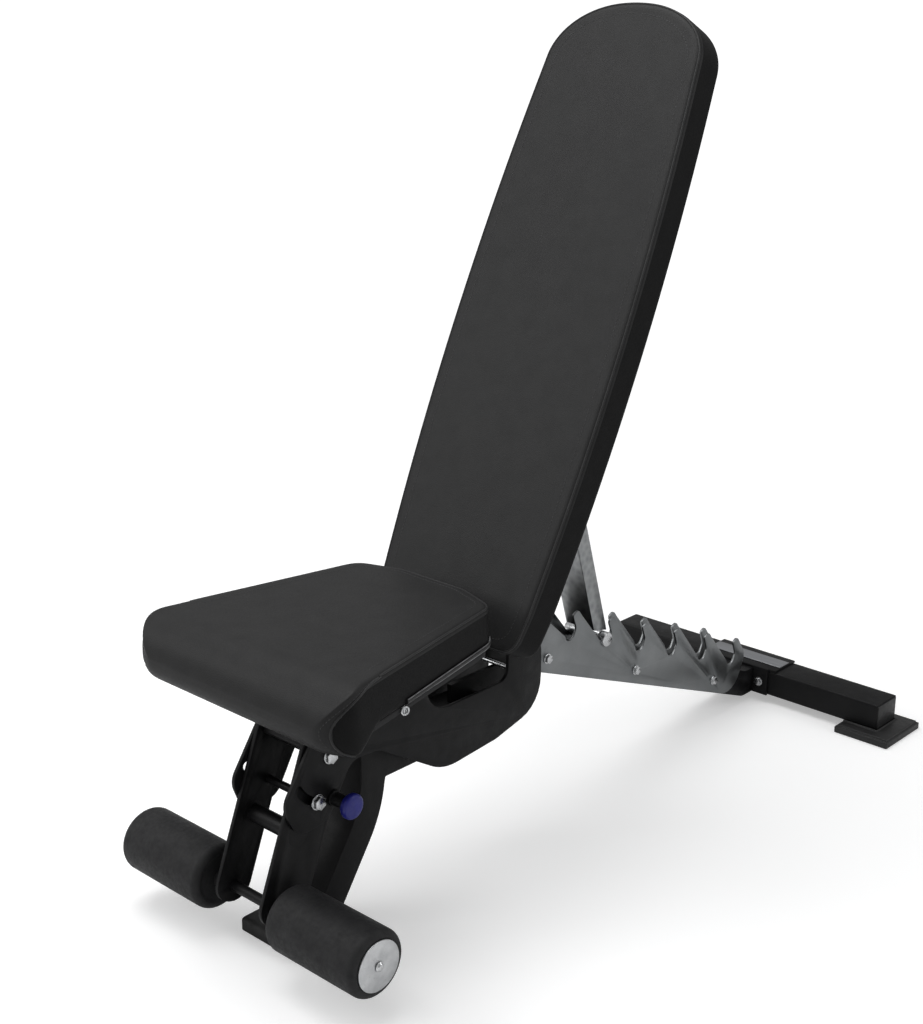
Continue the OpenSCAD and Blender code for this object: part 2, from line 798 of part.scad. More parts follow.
// Steel studs at the front ends of the seat board's sides
module seat_side_studs() {
    stud_y = -1147;
    color("#c4c6ca") placed() both_sides()
        translate([seat_half(stud_y, board_inset), stud_y, board_bottom + seat_board_t / 2])
            rotate([0, 0, seat_taper]) rotate([0, 90, 0]) {
                cylinder(h = 1.5, d = seat_board_t);
                translate([0, 0, 1.5]) cylinder(h = 4, d = seat_board_t - 1);
            }
}

// ---- leg roller holder ----

module holder_outline(width) {
    tilt = 21.5;
    up = [sin(tilt), cos(tilt)];
    fwd = [-cos(tilt), sin(tilt)];
    front = 48;
    rear = front - width;
    low_r = min(40, width - 32);
    a = pivot + fwd * front + up * 36;
    b = pivot + fwd * rear + up * 36;
    c = pivot + fwd * rear - up * (holder_len + 24);
    d = pivot + fwd * front - up * (holder_len + 24);
    polygon(rounded([[a[0], a[1], 8], [b[0], b[1], 30], [c[0], c[1], low_r], [d[0], d[1], 28]]));
}

module holder_plate(width) {
    difference() {
        slab(holder_in, holder_t) holder_outline(width);
        rod(pivot, bolt_d + 2 * run_gap, 0, side_gap);
        rod(guide_at, bolt_d + 2 * run_gap, 0, side_gap);
        rod(axle_at, axle_d + 2 * run_gap, 0, side_gap);
        rod(cross_tube_at, cross_plug_d, 0, side_gap);
        rod(top_rod_at, top_rod_d - 4, 0, side_gap);
    }
}

module holder_plate_left() {
    color("#202022") placed() difference() {
        holder_plate(holder_plate_w);
        rod(pin_at, pin_d + 1, 0, side_gap);
    }
}

module holder_plate_right() {
    color("#202022") placed() mirror([1, 0, 0]) holder_plate(holder_narrow_w);
}

module holder_pivot_tube() {
    color("#1c1c1e") placed() difference() {
        rod(pivot, bolt_d + 8, -holder_in, holder_in);
        rod(pivot, bolt_d + 2 * run_gap, -side_gap, side_gap);
    }
}

module holder_top_rod() {
    color("#1c1c1e") placed() rod(top_rod_at, top_rod_d, -holder_in, holder_in);
}

module holder_cross_tube() {
    color("#1c1c1e") placed() {
        rod(cross_tube_at, cross_tube_d, -holder_in, holder_in);
        both_sides() rod(cross_tube_at, cross_plug_d, holder_in, holder_out);
    }
}

module holder_guide_bolt() {
    color("#c4c6ca") placed() through_bolt(guide_at, bolt_d, side_out + move_gap, 18, head_h + 1);
}

module roller_axle() {
    color("#1c1c1e") placed() rod(axle_at, axle_d, -roller_out + 1, roller_out - 1);
}

module axle_collars() {
    color("#1a1a1c") placed() both_sides() difference() {
        rod(axle_at, axle_d + 10, holder_out, roller_in - move_gap);
        rod(axle_at, axle_d + 2 * run_gap, 0, roller_in);
    }
}

module axle_screws() {
    x = roller_out + cap_t + move_gap;
    color("#b8babd") placed() both_sides() translate([0, axle_at[0], axle_at[1]]) rotate([0, 90, 0]) {
        translate([0, 0, roller_out - 1]) cylinder(h = x - roller_out + 1, d = 8);
        translate([0, 0, x]) cylinder(h = 1.5, d = 15);
        translate([0, 0, x + 1.5]) cylinder(h = 2.5, d1 = 13, d2 = 8);
    }
}

module roller_foam() {
    r = roller_d / 2;
    edge = 14;
    translate([roller_in, axle_at[0], axle_at[1]]) rotate([90, 0, 90]) rotate_extrude()
        polygon(concat([[core_d / 2, 0]], arc([r - edge, edge], edge, -90, 0, 6),
            arc([r - edge, roller_len - edge], edge, 0, 90, 6), [[core_d / 2, roller_len]]));
}

module roller_core() {
    difference() {
        rod(axle_at, core_d, roller_in, roller_out);
        rod(axle_at, axle_d + 2 * run_gap, 0, roller_out + 1);
    }
}

module roller_cap() {
    difference() {
        rod(axle_at, cap_d, roller_out, roller_out + cap_t);
        rod(axle_at, 8 + 2 * run_gap, 0, roller_out + cap_t + 1);
    }
}

module roller_foam_left() {
    color("#1b1b1c") placed() roller_foam();
}

module roller_core_left() {
    color("#333333") placed() roller_core();
}

module roller_cap_left() {
    color("#b5b7ba") placed() roller_cap();
}

module roller_foam_right() {
    color("#1b1b1c") placed() mirror([1, 0, 0]) roller_foam();
}

module roller_core_right() {
    color("#333333") placed() mirror([1, 0, 0]) roller_core();
}

module roller_cap_right() {
    color("#b5b7ba") placed() mirror([1, 0, 0]) roller_cap();
}

// ---- pull pin ----

module pull_pin() {
    color("#c4c6ca") placed() rod(pin_at, pin_d, side_in, side_out + housing_len + 6);
}

module pull_knob() {
    x0 = side_out + housing_len + move_gap;
    color("#1f2f8c") placed() difference() {
        translate([x0, pin_at[0], pin_at[1]]) rotate([90, 0, 90]) rotate_extrude()
            polygon([[0, 0], [knob_d / 2 - 7, 0], [knob_d / 2 - 6, 4], [knob_d / 2 - 1, 6], [knob_d / 2, 8],
                [knob_d / 2, 14], [knob_d / 2 - 2, 16.5], [knob_d / 2 - 7, 18], [0, 19]]);
        rod(pin_at, pin_d, x0 - 1, side_out + housing_len + 6);
    }
}

// ---- selection ----

rear_tube();
rear_tube_plugs();
rear_tray_left();
rear_tray_right();
saddle_bracket();
saddle_bolts();
badge_plate();
spine_tube();
spine_plug();
ladder_plate_left();
ladder_plate_right();
ladder_bolts();
ladder_bar();
side_plate_left();
side_plate_right();
weld_spacers();
spine_gusset();
tie_rod();
front_leg();
front_foot();
foot_screws();
seat_bumper();
seat_hinge_bolt();
back_hinge_bolt();
holder_pivot_bolt();
pin_housing();
back_frame();
back_hinge_sleeve();
back_frame_plug();
back_straps();
back_board();
back_screws();
back_pad();
strut_pin();
strut();
seat_bracket();
seat_board();
seat_screws();
seat_pad();
seat_side_studs();
holder_plate_left();
holder_plate_right();
holder_pivot_tube();
holder_top_rod();
holder_cross_tube();
holder_guide_bolt();
roller_axle();
axle_collars();
axle_screws();
roller_foam_left();
roller_core_left();
roller_cap_left();
roller_foam_right();
roller_core_right();
roller_cap_right();
pull_pin();
pull_knob();
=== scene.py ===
import math

import bpy
from mathutils import Matrix, Vector


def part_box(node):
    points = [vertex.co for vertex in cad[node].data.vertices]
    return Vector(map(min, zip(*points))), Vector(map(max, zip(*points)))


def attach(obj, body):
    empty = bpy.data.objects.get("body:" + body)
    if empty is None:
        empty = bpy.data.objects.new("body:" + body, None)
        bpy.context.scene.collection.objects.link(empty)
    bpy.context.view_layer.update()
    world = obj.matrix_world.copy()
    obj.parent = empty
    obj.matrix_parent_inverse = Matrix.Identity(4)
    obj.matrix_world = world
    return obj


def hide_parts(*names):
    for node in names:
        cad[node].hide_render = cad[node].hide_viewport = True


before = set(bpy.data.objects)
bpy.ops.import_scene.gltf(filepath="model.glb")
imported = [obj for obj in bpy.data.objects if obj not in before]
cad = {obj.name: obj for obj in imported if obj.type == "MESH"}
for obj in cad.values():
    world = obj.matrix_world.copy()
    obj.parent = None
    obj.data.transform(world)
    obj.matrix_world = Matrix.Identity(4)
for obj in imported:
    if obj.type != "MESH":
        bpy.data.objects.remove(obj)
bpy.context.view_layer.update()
scene = bpy.context.scene

# ---------------------------------------------------------------- sizes, in metres
HINGE = Vector((0, -0.149066, 0.3775))                      # the back's hinge pin
LEAN = math.radians(64)                                     # the back's slope at rest
UP_BACK = Vector((0, math.cos(LEAN), math.sin(LEAN)))
OUT_FACE = Vector((0, -math.sin(LEAN), math.cos(LEAN)))
MID_Y = 0.625934                                            # rear tube to the bench's middle


# ---------------------------------------------------------------- bench tools
def put_down():
    """Nothing selected, nothing in edit mode."""
    if bpy.context.object and bpy.context.object.mode != "OBJECT":
        bpy.ops.object.mode_set(mode="OBJECT")
    bpy.ops.object.select_all(action="DESELECT")


def pick_up(piece):
    """This piece alone selected and active."""
    put_down()
    piece.select_set(True)
    bpy.context.view_layer.objects.active = piece


def name_piece(name):
    """Names the piece that was just made."""
    piece = bpy.context.object
    piece.name = name
    piece.data.name = name
    return piece


def settle(piece):
    """Its place goes into its mesh and its object to the origin."""
    pick_up(piece)
    bpy.ops.object.transform_apply(location=True, rotation=True, scale=True)
    return piece


def use_modifier(piece, kind, **settings):
    """Adds one modifier and applies it."""
    mod = piece.modifiers.new(kind.lower(), kind)
    for key, value in settings.items():
        setattr(mod, key, value)
    pick_up(piece)
    bpy.ops.object.modifier_apply(modifier=mod.name)


def smooth(piece, angle):
    """Shades smooth across every edge flatter than this many degrees."""
    pick_up(piece)
    bpy.ops.object.shade_smooth_by_angle(angle=math.radians(angle))


def dress(piece, finish):
    """The piece wears this finish and no other."""
    piece.data.materials.clear()
    piece.data.materials.append(finish)


def fit(piece, body, finish, slot, *stands_for):
    """Rides on its body, wears its finish and stands for its CAD nodes."""
    dress(piece, finish)
    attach(piece, body)
    if stands_for:
        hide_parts(*stands_for)
    return piece


def mesh_piece(name, verts, faces):
    """A piece made from its own points and faces."""
    data = bpy.data.meshes.new(name)
    data.from_pydata([tuple(v) for v in verts], [], faces)
    data.update()
    piece = bpy.data.objects.new(name, data)
    scene.collection.objects.link(piece)
    return piece


def merged_copy(node, name):
    """A clean copy of a CAD node: joined up and with its flat faces whole."""
    source = cad[node]
    piece = bpy.data.objects.new(name, source.data.copy())
    scene.collection.objects.link(piece)
    pick_up(piece)
    bpy.ops.object.mode_set(mode="EDIT")
    bpy.ops.mesh.select_all(action="SELECT")
    bpy.ops.mesh.remove_doubles(threshold=0.00001)
    bpy.ops.mesh.dissolve_limited(angle_limit=math.radians(0.6))
    bpy.ops.object.mode_set(mode="OBJECT")
    return piece


def ease_edges(piece, width, segments, angle):
    """Takes the sharpness off every edge that turns more than this angle."""
    use_modifier(piece, "BEVEL", width=width, segments=segments, limit_method="ANGLE",
                 angle_limit=math.radians(angle), use_clamp_overlap=True, harden_normals=False)
    smooth(piece, 40)


def eased(node, body, finish, slot, width, segments=2, angle=30):
    """A CAD node with its edges eased, standing for the node itself."""
    piece = merged_copy(node, node + "_eased")
    ease_edges(piece, width, segments, angle)
    return fit(piece, body, finish, slot, node)


def rounded_tube(node, body, finish, slot, is_outer, radius):
    """A box tube with its long outer corners rounded, as a drawn tube has."""
    piece = merged_copy(node, node + "_rounded")
    mesh = piece.data
    pick_up(piece)
    bpy.ops.object.mode_set(mode="EDIT")
    bpy.ops.mesh.select_mode(type="EDGE")
    bpy.ops.mesh.select_all(action="DESELECT")
    bpy.ops.object.mode_set(mode="OBJECT")
    for edge in mesh.edges:
        a, b = (mesh.vertices[i].co for i in edge.vertices)
        edge.select = is_outer(a, b)
    bpy.ops.object.mode_set(mode="EDIT")
    bpy.ops.mesh.bevel(offset=radius, segments=4, affect="EDGES")
    bpy.ops.object.mode_set(mode="OBJECT")
    ease_edges(piece, 0.0004, 1, 50)
    return fit(piece, body, finish, slot, node)


# ---------------------------------------------------------------- finishes
class Finish:
    """A node-based material, built step by step."""

    def __init__(self, name, colour, roughness, metallic=0.0):
        self.mat = bpy.data.materials.new(name)
        self.mat.use_nodes = True
        self.tree = self.mat.node_tree
        self.shader = self.tree.nodes["Principled BSDF"]
        self.shader.inputs["Base Color"].default_value = (*colour, 1)
        self.shader.inputs["Roughness"].default_value = roughness
        self.shader.inputs["Metallic"].default_value = metallic
        self.place = self.tree.nodes.new("ShaderNodeTexCoord").outputs["Object"]
        self.height = None

    def node(self, kind, **settings):
        """A new node in this material."""
        made = self.tree.nodes.new(kind)
        for key, value in settings.items():
            setattr(made, key, value)
        return made

    def link(self, source, target):
        self.tree.links.new(source, target)

    def stretched(self, scale):
        """The piece's own coordinates, finer along some axes than others."""
        mapping = self.node("ShaderNodeMapping")
        mapping.inputs["Scale"].default_value = scale
        self.link(self.place, mapping.inputs["Vector"])
        return mapping.outputs["Vector"]

    def noise(self, scale, detail, place=None, rough=0.5):
        """Soft cloudy variation."""
        made = self.node("ShaderNodeTexNoise")
        made.inputs["Scale"].default_value = scale
        made.inputs["Detail"].default_value = detail
        made.inputs["Roughness"].default_value = rough
        self.link(place or self.place, made.inputs["Vector"])
        return made.outputs["Fac"]

    def cells(self, scale):
        """Small rounded cells, for pebble grain, pores and spangles."""
        made = self.node("ShaderNodeTexVoronoi", feature="F1")
        made.inputs["Scale"].default_value = scale
        self.link(self.place, made.inputs["Vector"])
        return made.outputs["Distance"]

    def ramp(self, source, low, high, at=(0.3, 0.7)):
        """A value spread evenly between low and high."""
        made = self.node("ShaderNodeMapRange")
        made.inputs["From Min"].default_value = at[0]
        made.inputs["From Max"].default_value = at[1]
        made.inputs["To Min"].default_value = low
        made.inputs["To Max"].default_value = high
        self.link(source, made.inputs["Value"])
        return made.outputs["Result"]

    def tint(self, source, low, high, at=(0.3, 0.7)):
        """The base colour varies between two tones."""
        made = self.node("ShaderNodeValToRGB")
        made.color_ramp.elements[0].position = at[0]
        made.color_ramp.elements[1].position = at[1]
        made.color_ramp.elements[0].color = (*low, 1)
        made.color_ramp.elements[1].color = (*high, 1)
        self.link(source, made.inputs["Fac"])
        self.link(made.outputs["Color"], self.shader.inputs["Base Color"])
        return self

    def gloss(self, source, low, high, at=(0.3, 0.7)):
        """The roughness varies between two values."""
        self.link(self.ramp(source, low, high, at), self.shader.inputs["Roughness"])
        return self

    def bump(self, source, depth, strength=1.0):
        """Adds relief of this depth in metres on top of what is there."""
        made = self.node("ShaderNodeBump")
        made.inputs["Strength"].default_value = strength
        made.inputs["Distance"].default_value = depth
        self.link(source, made.inputs["Height"])
        if self.height:
            self.link(self.height, made.inputs["Normal"])
        self.height = made.outputs["Normal"]
        self.link(self.height, self.shader.inputs["Normal"])
        return self

    def set(self, **values):
        """Plain numbers and colours straight on the shader."""
        for key, value in values.items():
            self.shader.inputs[key.replace("_", " ")].default_value = value
        return self


def powder_coat():
    """Black powder coat: a fine orange peel and faint dust on its gloss."""
    f = Finish("black powder coat", (0.012, 0.012, 0.013), 0.42)
    f.tint(f.noise(14, 4), (0.0055, 0.0055, 0.006), (0.009, 0.009, 0.0095))
    f.set(Specular_IOR_Level=0.18)
    f.gloss(f.noise(55, 4), 0.36, 0.50)
    f.bump(f.noise(900, 2), 0.00012)
    f.bump(f.noise(260, 2), 0.00015)
    return f.mat


def satin_plate():
    """Ground steel under a clear coat, brushed along the plate."""
    f = Finish("satin steel plate", (0.36, 0.37, 0.38), 0.34, 1.0)
    streaks = f.noise(1.0, 6, f.stretched((60, 90, 1400)), 0.65)
    f.tint(f.noise(9, 5), (0.20, 0.21, 0.215), (0.30, 0.31, 0.315))
    f.gloss(streaks, 0.28, 0.46)
    f.bump(streaks, 0.00006)
    return f.mat


def bright_trim():
    """Worn bright edge of the seat's lower trim."""
    f = Finish("bright trim", (0.30, 0.30, 0.31), 0.36, 1.0)
    f.tint(f.noise(70, 4), (0.16, 0.16, 0.165), (0.34, 0.34, 0.35))
    f.gloss(f.noise(180, 3), 0.30, 0.46)
    return f.mat


def galvanised():
    """Zinc-dipped sheet with soft spangles and a drawn grain."""
    f = Finish("galvanised sheet", (0.5, 0.51, 0.52), 0.38, 1.0)
    spangle = f.cells(85)
    f.tint(spangle, (0.26, 0.27, 0.275), (0.40, 0.41, 0.415), (0.1, 0.8))
    f.gloss(f.noise(1.0, 5, f.stretched((900, 60, 60)), 0.6), 0.28, 0.48)
    f.bump(spangle, 0.00005)
    return f.mat


def zinc():
    """Bright zinc on bolts and caps, a little hazy."""
    f = Finish("bright zinc", (0.64, 0.65, 0.66), 0.24, 1.0)
    f.tint(f.noise(130, 4), (0.55, 0.56, 0.57), (0.72, 0.73, 0.74))
    f.gloss(f.noise(240, 3), 0.16, 0.34)
    f.bump(f.noise(1500, 2), 0.00002)
    return f.mat


def turned_disc():
    """Lathe-turned end discs: fine rings are left by the tool."""
    f = Finish("turned disc", (0.62, 0.63, 0.64), 0.30, 1.0)
    f.tint(f.noise(60, 3), (0.54, 0.55, 0.56), (0.68, 0.69, 0.70))
    f.gloss(f.noise(380, 4), 0.26, 0.42)
    f.bump(f.noise(700, 3), 0.00003)
    return f.mat


def vinyl(name, low, high, roughness, sheen):
    """Black upholstery vinyl: pebble grain, fine creases and slow unevenness."""
    f = Finish(name, high, sum(roughness) / 2)
    f.tint(f.noise(30, 5), low, high)
    pebbles = f.cells(620)
    f.gloss(pebbles, roughness[0], roughness[1], (0.0, 0.75))
    f.bump(f.noise(16, 3), 0.0012, 0.35)
    f.bump(pebbles, 0.00016)
    f.bump(f.noise(2200, 2), 0.00005)
    f.set(Specular_IOR_Level=sheen)
    return f.mat


def foam():
    """Closed-cell foam: matt, with fine pores and shallow dents."""
    f = Finish("black foam", (0.016, 0.016, 0.017), 0.72)
    f.tint(f.noise(45, 5), (0.013, 0.013, 0.014), (0.022, 0.022, 0.023))
    f.gloss(f.noise(160, 4), 0.52, 0.70)
    f.bump(f.cells(1100), 0.00014)
    f.bump(f.noise(22, 3), 0.0010, 0.5)
    f.set(Specular_IOR_Level=0.26)
    return f.mat


def moulded(name, colour, roughness):
    """Moulded plastic with a spark-eroded skin."""
    f = Finish(name, colour, roughness)
    f.tint(f.noise(35, 3), tuple(c * 0.85 for c in colour), tuple(c * 1.2 for c in colour))
    f.gloss(f.noise(110, 3), roughness - 0.06, roughness + 0.08)
    f.bump(f.noise(1400, 2), 0.00008)
    return f.mat


def rubber():
    """Dull moulded rubber with a fine grain."""
    f = Finish("black rubber", (0.014, 0.014, 0.014), 0.66)
    f.tint(f.noise(30, 4), (0.011, 0.011, 0.011), (0.020, 0.020, 0.020))
    f.gloss(f.noise(90, 3), 0.58, 0.74)
    f.bump(f.noise(1300, 3), 0.00014)
    return f.mat


def board_cover():
    """The non-woven dust cover stapled over the boards' backs."""
    f = Finish("dust cover", (0.014, 0.014, 0.015), 0.86)
    weave = f.noise(1.0, 4, f.stretched((900, 900, 900)), 0.7)
    f.tint(weave, (0.010, 0.010, 0.011), (0.024, 0.024, 0.025))
    f.gloss(weave, 0.78, 0.92)
    f.bump(weave, 0.00022)
    return f.mat


def thread():
    """Twisted sewing thread."""
    f = Finish("black thread", (0.03, 0.03, 0.031), 0.6)
    twist = f.noise(1600, 2)
    f.tint(twist, (0.022, 0.022, 0.023), (0.05, 0.05, 0.052))
    f.bump(twist, 0.0002)
    return f.mat


def badge_face():
    """A blank badge: brushed along its length under a thin lacquer."""
    f = Finish("blank badge", (0.42, 0.43, 0.45), 0.36, 1.0)
    streaks = f.noise(1.0, 5, f.stretched((12, 900, 900)), 0.6)
    f.tint(streaks, (0.34, 0.35, 0.37), (0.50, 0.51, 0.53))
    f.gloss(streaks, 0.28, 0.44)
    return f.mat


COAT = powder_coat()
PLATE = satin_plate()
TRIM = bright_trim()
GALV = galvanised()
ZINC = zinc()
DISC = turned_disc()
FACE = vinyl("face vinyl", (0.0165, 0.0165, 0.0168), (0.0205, 0.0205, 0.0208), (0.42, 0.54), 0.20)
# painted shade: the side bands and undersides wear this darker, less glossy copy of the face vinyl
SHADED_SIDE_VINYL = vinyl("side vinyl in painted shade", (0.0055, 0.0055, 0.0057), (0.0075, 0.0075, 0.0077), (0.48, 0.60), 0.10)
WELT = vinyl("welt vinyl", (0.026, 0.026, 0.0265), (0.034, 0.034, 0.0345), (0.34, 0.46), 0.20)
FOAM = foam()
PLASTIC = moulded("black plastic", (0.014, 0.014, 0.0145), 0.46)
BLUE = moulded("blue plastic", (0.008, 0.010, 0.19), 0.38)
RUBBER = rubber()
COVER = board_cover()
THREAD = thread()
BADGE = badge_face()


# ---------------------------------------------------------------- steel frame
def rear_tube_edge(a, b):
    """The rear tube's four long outer corners."""
    low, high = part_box("rear_tube")
    near, long = 1e-4, 0.1

    def outer(v):
        return (min(abs(v.y - low.y), abs(v.y - high.y)) < near
                and min(abs(v.z - low.z), abs(v.z - high.z)) < near)
    return abs(a.x - b.x) > long and outer(a) and outer(b)


# widths of the eased edges: cut plate, bent tube, moulding, bolt
PLATE_EASE, TUBE_EASE, MOULD_EASE, BOLT_EASE = 0.0009, 0.0028, 0.0012, 0.0006
rounded_tube("rear_tube", "frame", COAT, "black_powder_coat", rear_tube_edge, 0.005)
eased("spine_tube", "frame", COAT, "black_powder_coat", TUBE_EASE, 3, 50)
eased("front_leg", "frame", COAT, "black_powder_coat", TUBE_EASE, 3, 50)
eased("side_plate_left", "frame", COAT, "black_powder_coat", PLATE_EASE)
eased("side_plate_right", "frame", COAT, "black_powder_coat", PLATE_EASE)
eased("saddle_bracket", "frame", COAT, "black_powder_coat", PLATE_EASE)
eased("front_foot", "frame", RUBBER, "black_plastic", 0.0022, 3)
eased("rear_tray_left", "frame", PLASTIC, "black_plastic", MOULD_EASE)
eased("rear_tray_right", "frame", PLASTIC, "black_plastic", MOULD_EASE)
eased("rear_tube_plugs", "frame", PLASTIC, "black_plastic", PLATE_EASE)
eased("ladder_plate_left", "frame", PLATE, "satin_steel", 0.0005)
eased("ladder_plate_right", "frame", PLATE, "satin_steel", 0.0005)
eased("ladder_bar", "frame", ZINC, "zinc_plated", 0.0012, 2)
eased("badge_plate", "frame", BADGE, "badge_metal", 0.0004)
eased("strut", "strut", GALV, "galvanised_steel", PLATE_EASE)
eased("back_frame", "back", COAT, "black_powder_coat", TUBE_EASE, 3, 50)
eased("back_frame_plug", "back", PLASTIC, "black_plastic", MOULD_EASE)
eased("back_straps", "back", COAT, "black_powder_coat", 0.0008)
eased("seat_bracket", "seat", COAT, "black_powder_coat", 0.0008)
eased("seat_board", "seat", COVER, "board", 0.0010)
eased("back_board", "back", COVER, "board", 0.0010)
eased("holder_plate_left", "holder", COAT, "black_powder_coat", PLATE_EASE)
eased("holder_plate_right", "holder", COAT, "black_powder_coat", PLATE_EASE)
for bolts, body in (("saddle_bolts", "frame"), ("ladder_bolts", "frame"), ("foot_screws", "frame"),
                    ("seat_hinge_bolt", "frame"), ("back_hinge_bolt", "back_bolt"),
                    ("holder_pivot_bolt", "frame"), ("back_screws", "back"), ("strut_pin", "back"),
                    ("seat_screws", "seat"), ("holder_guide_bolt", "holder"), ("axle_screws", "holder"),
                    ("seat_side_studs", "seat"), ("roller_cap_left", "roller_left"),
                    ("roller_cap_right", "roller_right")):
    eased(bolts, body, DISC if bolts.startswith("roller_cap") else ZINC, "zinc_plated", BOLT_EASE)

# two bolts with black shanks between the plates, and bright ends outside them
for bolt, reach in (("holder_guide_bolt_eased", 0.044), ("back_hinge_bolt_eased", 0.052)):
    shank = bpy.data.objects[bolt].data
    shank.materials.append(COAT)
    for face in shank.polygons:
        if abs(face.center.x) < reach and abs(face.normal.x) < 0.5:
            face.material_index = 1
eased("pull_knob", "pull_pin", BLUE, "blue_plastic", 0.0008)
eased("pin_housing", "frame", COAT, "black_powder_coat", 0.0008)
for node in ("weld_spacers", "spine_gusset", "holder_pivot_tube", "holder_top_rod",
             "holder_cross_tube", "roller_axle"):
    dress(cad[node], COAT)
for node in ("tie_rod", "pull_pin"):
    dress(cad[node], ZINC)
for node in ("spine_plug", "axle_collars", "back_hinge_sleeve", "roller_core_left", "roller_core_right"):
    dress(cad[node], PLASTIC)
dress(cad["seat_bumper"], RUBBER)


# ---------------------------------------------------------------- upholstery
def along(points, spacing):
    """The same line with its points a set distance apart."""
    marks = [0.0]
    for p, q in zip(points, points[1:]):
        marks.append(marks[-1] + (q - p).length)
    count = max(2, round(marks[-1] / spacing))
    out = []
    k = 0
    for i in range(count + 1):
        target = marks[-1] * i / count
        while k < len(marks) - 2 and marks[k + 1] < target:
            k += 1
        share = (target - marks[k]) / max(marks[k + 1] - marks[k], 1e-9)
        out.append(points[k].lerp(points[k + 1], min(max(share, 0), 1)))
    return out


class Cushion:
    """A pad cut from panels: a face, a side band and a flat underside.

    rim is the outline's right half as (x, v) points, from v low to v high; core is the
    line in the middle that the face closes on. depth(v) gives the underside and the face,
    top is the face's highest level and soft the radius of its edge. roll_in(point, height)
    moves a point of the finished shape.
    """

    spacing = 0.0085
    under = (1.0, 0.75, 0.5, 0.25)
    under_edge = (0.006, 0.002)
    side = (0.06, 0.16, 0.30, 0.45, 0.60, 0.75, 0.88, 0.96)
    edge = (0.0, 0.25, 0.5, 0.75, 1.0)
    face = (0.03, 0.08, 0.14, 0.21, 0.29, 0.38, 0.47, 0.56, 0.65, 0.74, 0.83, 0.92, 1.0)

    def __init__(self, rim, core, depth, top, soft, roll_in=None):
        self.depth = depth
        self.top = top
        self.core = core
        self.roll_in = roll_in
        self.soft = soft
        half = along([Vector(p) for p in rim], self.spacing)
        self.ring = half + [Vector((-p.x, p.y)) for p in reversed(half[1:-1])]
        self.rows = [(kind, value) for kind in ("under", "under_edge", "side", "edge", "face")
                     for value in getattr(self, kind)]
        self.seam_row = next(i for i, row in enumerate(self.rows) if row[0] == "edge")

    def middle(self, p):
        """The point of the core line that lies nearest."""
        return Vector((0, min(max(p.y, self.core[0]), self.core[1])))

    def point(self, row, p):
        """Where a row meets the ray from the outline's point p to the core line."""
        kind, value = row
        c = self.middle(p)
        reach = (c - p).length
        inward = (c - p) / reach if reach > 1e-6 else Vector((0, 0))
        low = self.depth(p.y)[0]
        r = self.soft
        if kind == "under":
            q = p + inward * (r + (reach - r) * value)
            w = self.depth(q.y)[0]
        elif kind == "under_edge":
            q = p + inward * value
            w = low + (0.0012 if value < 0.004 else 0)
        elif kind == "side":
            q = p
            hem = 0.003
            w = low + hem + (self.edge_height(p, 0) - low - hem) * value
        elif kind == "edge":
            inset = r * (1 - math.cos(math.pi / 2 * value))
            q = p + inward * inset
            w = self.edge_height(q, inset)
        else:
            q = p + inward * (r + (reach - r) * value)
            w = self.depth(q.y)[1]
        if self.roll_in:
            q = self.roll_in(q, w)
        return Vector((q.x, q.y, w))

    def edge_height(self, q, inset):
        """Height of the face where it rounds over its edge, this far in from the rim."""
        r = self.soft
        flat = self.top - r + math.sqrt(max(r * r - (r - inset) ** 2, 0.0))
        return min(flat, self.depth(q.y)[1])

    def build(self, name, place):
        """The pad's mesh, with the side band and the underside in a darker copy of the face vinyl, painted
        shade.
        """
        count = len(self.ring)
        verts = [place @ self.point(row, p) for row in self.rows for p in self.ring]
        faces = []
        for i in range(len(self.rows) - 1):
            for j in range(count):
                k = (j + 1) % count
                faces.append((i * count + j, i * count + k, (i + 1) * count + k, (i + 1) * count + j))
        piece = mesh_piece(name, verts, faces)
        shaded_bands = []
        # painted shade: the underside and side band rows take the darker vinyl, the face rows the lighter
        # one
        for kind, _ in self.rows[:-1]:
            shaded_bands += [1 if kind in ("under", "under_edge", "side") else 0] * count
        piece.data.materials.append(FACE)
        piece.data.materials.append(SHADED_SIDE_VINYL)
        piece.data.polygons.foreach_set("material_index", shaded_bands)
        return piece


def puff(piece, cushion, cap):
    """Blows the panels out with cloth simulation, held at the seams and the underside.

    cap is the most that a point may move.
    """
    count = len(cushion.ring)
    start = [v.co.copy() for v in piece.data.vertices]
    hold = piece.vertex_groups.new(name="held")
    seam = cushion.seam_row
    held = [i * count + j for i, row in enumerate(cushion.rows) for j in range(count)
            if row[0] in ("under", "under_edge") or i == seam or i == seam + 1]
    hold.add(held, 1.0, "REPLACE")
    mod = piece.modifiers.new("cloth", "CLOTH")
    mod.settings.use_pressure = True
    mod.settings.uniform_pressure_force = 4.0
    mod.settings.vertex_group_mass = "held"
    mod.settings.effector_weights.gravity = 0
    mod.settings.quality = 4
    mod.settings.tension_stiffness = 40
    mod.settings.compression_stiffness = 40
    mod.settings.bending_stiffness = 2
    for step in range(1, 21):
        scene.frame_set(step)
    shape = piece.evaluated_get(bpy.context.evaluated_depsgraph_get())
    blown = [v.co.copy() for v in shape.data.vertices]
    piece.modifiers.remove(mod)
    scene.frame_set(1)
    fixed = set(held)
    for i, (kind, share) in enumerate(cushion.rows):
        if kind == "side":
            ease = 0.30 * math.sin(math.pi * share)
        elif kind == "face":
            ease = min(1.0, share * 2.2) ** 0.7
        else:
            ease = 0.12
        for j in range(count):
            k = i * count + j
            if k in fixed:
                continue
            move = blown[k] - start[k]
            size = move.length
            if size > 1e-9:
                piece.data.vertices[k].co = start[k] + move / size * cap * math.tanh(size / cap) * ease


def close_up(piece, reach):
    """Joins the rows that meet on the middle line and turns every face outwards."""
    pick_up(piece)
    bpy.ops.object.mode_set(mode="EDIT")
    bpy.ops.mesh.select_all(action="SELECT")
    bpy.ops.mesh.remove_doubles(threshold=reach)
    bpy.ops.mesh.normals_make_consistent(inside=False)
    bpy.ops.object.mode_set(mode="OBJECT")


